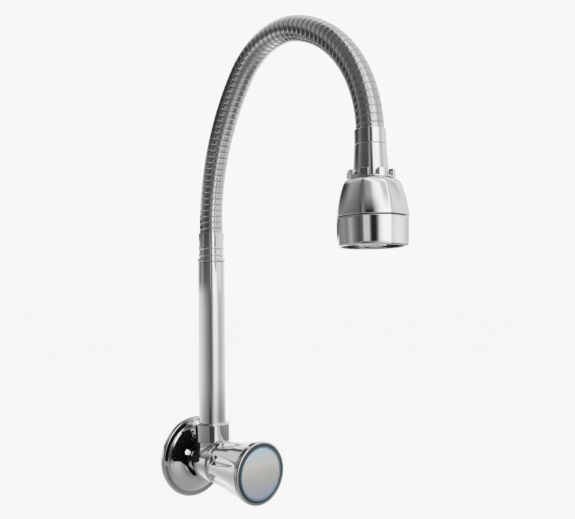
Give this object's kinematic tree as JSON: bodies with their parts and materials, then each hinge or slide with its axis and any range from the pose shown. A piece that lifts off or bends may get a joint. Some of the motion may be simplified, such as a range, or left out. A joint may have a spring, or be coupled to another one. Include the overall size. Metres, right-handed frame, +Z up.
{
  "type": "kitchen tap",
  "caption": "Wall-mounted cold-water tap with a round knob, a swivelling riser, a bendable ribbed gooseneck and a faceted spray head.",
  "frame": {"origin": "on the inlet's axis in the plane of the wall", "axes": "+Z up along the riser, +Y into the wall along the inlet, -Y out into the room towards the knob and the spray head"},
  "size_m": [0.0658, 0.2363, 0.3768],
  "materials": {
    "flange_chrome": "polished plate",
    "body_chrome": "polished plate on cast brass",
    "knob_chrome": "polished plate",
    "spout_chrome": "polished plate",
    "hose_steel": "plated steel, slightly duller in the grooves",
    "head_chrome": "polished plate on moulded body",
    "cold_blue": "tinted glossy ring",
    "cap_silver": "fine spun satin",
    "brass": "machined",
    "ceramic": "lapped, matt white",
    "rubber": "moulded",
    "nylon": "moulded",
    "hose_liner": "milky, flexible",
    "insert_plastic": "moulded",
    "plate_plastic": "moulded grey",
    "steel": "plain steel",
    "mesh_steel": "fine woven screen"
  },
  "bodies": {
    "root": {"wall_flange": "flange_chrome", "valve_body": "body_chrome", "seat_seal": "rubber", "fixed_disc": "ceramic", "cartridge_body": "brass", "cartridge_seal": "rubber", "bonnet_shroud": "body_chrome", "spout_nut": "body_chrome"},
    "knob": {"knob_handle": "knob_chrome", "knob_screw": "steel", "index_ring": "cold_blue", "cap_disc": "cap_silver", "spindle": "brass", "spindle_seal": "rubber", "moving_disc": "ceramic"},
    "spout": {"spout_foot": "brass", "spout_seals": "rubber", "slip_ring": "nylon", "riser_tube": "spout_chrome", "lower_ferrule": "spout_chrome"},
    "gooseneck": {"gooseneck_hose": "hose_steel", "water_tube": "hose_liner"},
    "neck": {"upper_ferrule": "head_chrome", "swivel_neck": "head_chrome", "swivel_stem": "brass", "swivel_seal": "rubber", "swivel_washer": "nylon"},
    "spray_head": {"swivel_collar": "head_chrome", "bell_shell": "head_chrome", "head_insert": "insert_plastic"},
    "mode_selector": {"mode_ring": "head_chrome", "selector_disc": "insert_plastic", "nozzle_plate": "plate_plastic", "aerator_housing": "nylon", "aerator_mesh": "mesh_steel"}
  },
  "joints": [
    {"name": "knob_turn", "type": "hinge", "parent": "root", "child": "knob", "pos_m": [0, -0.0863, 0], "axis": [0, -1, 0], "range_deg": [0, 90]},
    {"name": "spout_swivel", "type": "hinge", "parent": "root", "child": "spout", "pos_m": [0, -0.026, 0.02], "axis": [0, 0, 1], "range_deg": [-90, 90]},
    {"name": "hose_lower_bend", "type": "hinge", "parent": "spout", "child": "gooseneck", "pos_m": [0, -0.03052, 0.23547], "axis": [1, 0, 0], "range_deg": [-25, 25], "deforming": ["gooseneck_hose", "water_tube"]},
    {"name": "hose_upper_bend", "type": "hinge", "parent": "gooseneck", "child": "neck", "pos_m": [0, -0.18266, 0.29373], "axis": [1, 0, 0], "range_deg": [-30, 30], "deforming": ["gooseneck_hose", "water_tube"]},
    {"name": "head_spin", "type": "hinge", "parent": "neck", "child": "spray_head", "pos_m": [0, -0.1987, 0.2], "axis": [0, 0, -1], "continuous": true},
    {"name": "mode_turn", "type": "hinge", "parent": "spray_head", "child": "mode_selector", "pos_m": [0, -0.1987, 0.175], "axis": [0, 0, -1], "range_deg": [0, 72]}
  ]
}
